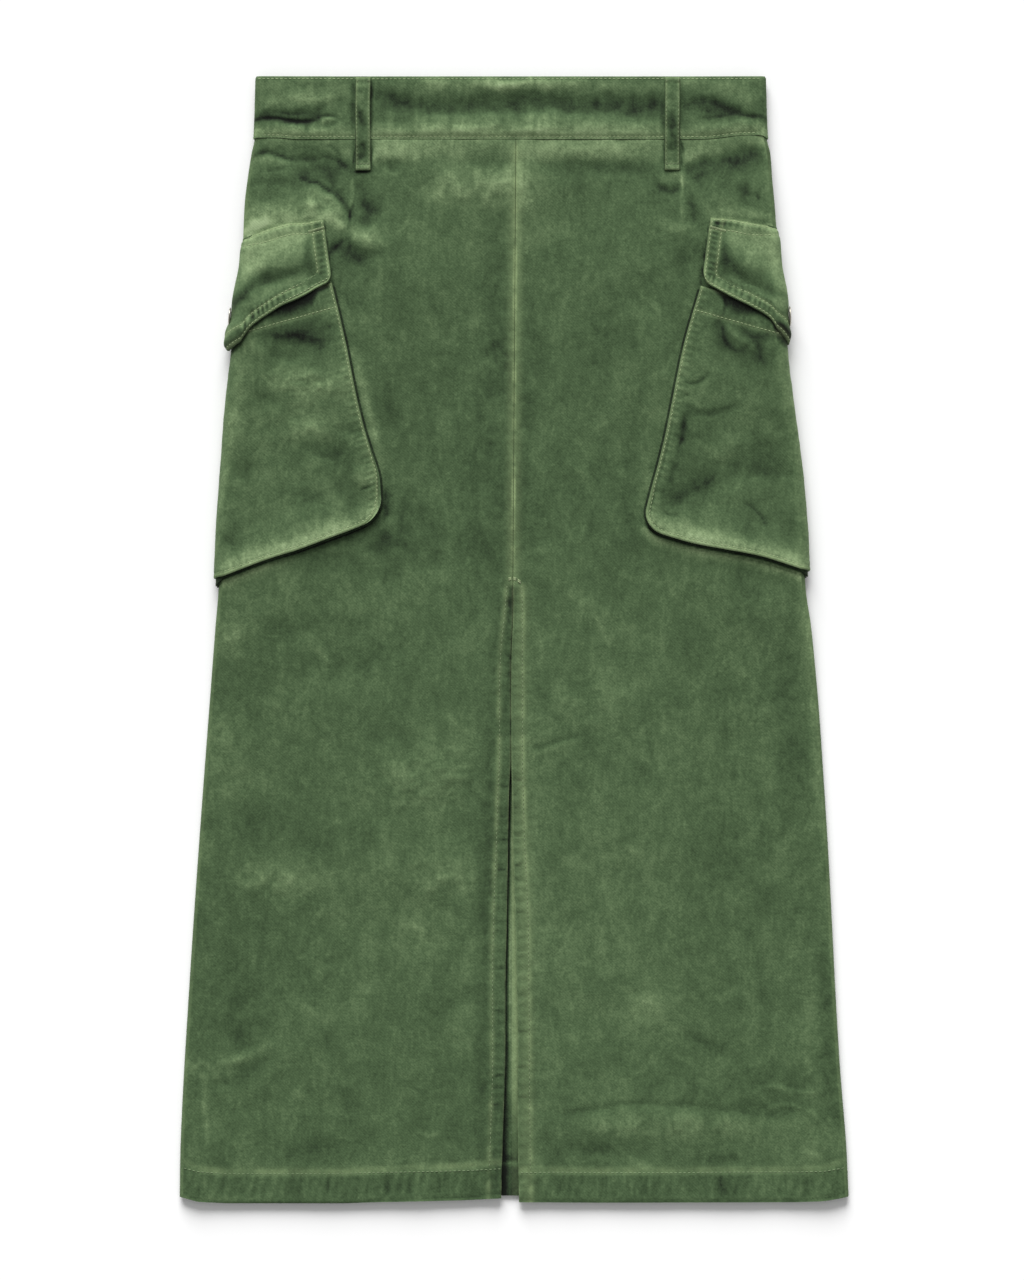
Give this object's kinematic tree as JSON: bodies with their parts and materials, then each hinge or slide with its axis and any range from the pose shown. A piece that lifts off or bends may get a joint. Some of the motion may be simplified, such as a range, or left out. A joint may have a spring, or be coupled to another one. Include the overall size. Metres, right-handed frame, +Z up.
{
  "type": "cargo utility skirt",
  "caption": "Midi cargo skirt in brushed olive twill laid flat, with a front slit, belt loops and tilted flap pockets wrapped round the side folds.",
  "frame": {"origin": "middle of the skirt's outline, on the surface it lies on", "axes": "+X to the right of the picture, +Y towards the waist, +Z up off the surface, out of the front"},
  "size_m": [0.5062, 0.855, 0.0192],
  "materials": {
    "twill": "brushed cotton twill, garment dyed",
    "snap_metal": "satin",
    "zip_tape": "woven tape"
  },
  "bodies": {
    "root": {"front_left": "twill", "front_right": "twill", "back_left": "twill", "back_right": "twill", "waistband_front": "twill", "waistband_back_left": "twill", "waistband_back_right": "twill", "belt_loop_front_left": "twill", "belt_loop_front_right": "twill", "belt_loop_back_left": "twill", "belt_loop_back_right": "twill", "pocket_left": "twill", "pocket_right": "twill", "pocket_gusset_left": "twill", "pocket_gusset_right": "twill", "flap_left": "twill", "flap_right": "twill", "snap_left": "snap_metal", "snap_right": "snap_metal", "back_zip": "zip_tape"}
  },
  "joints": []
}
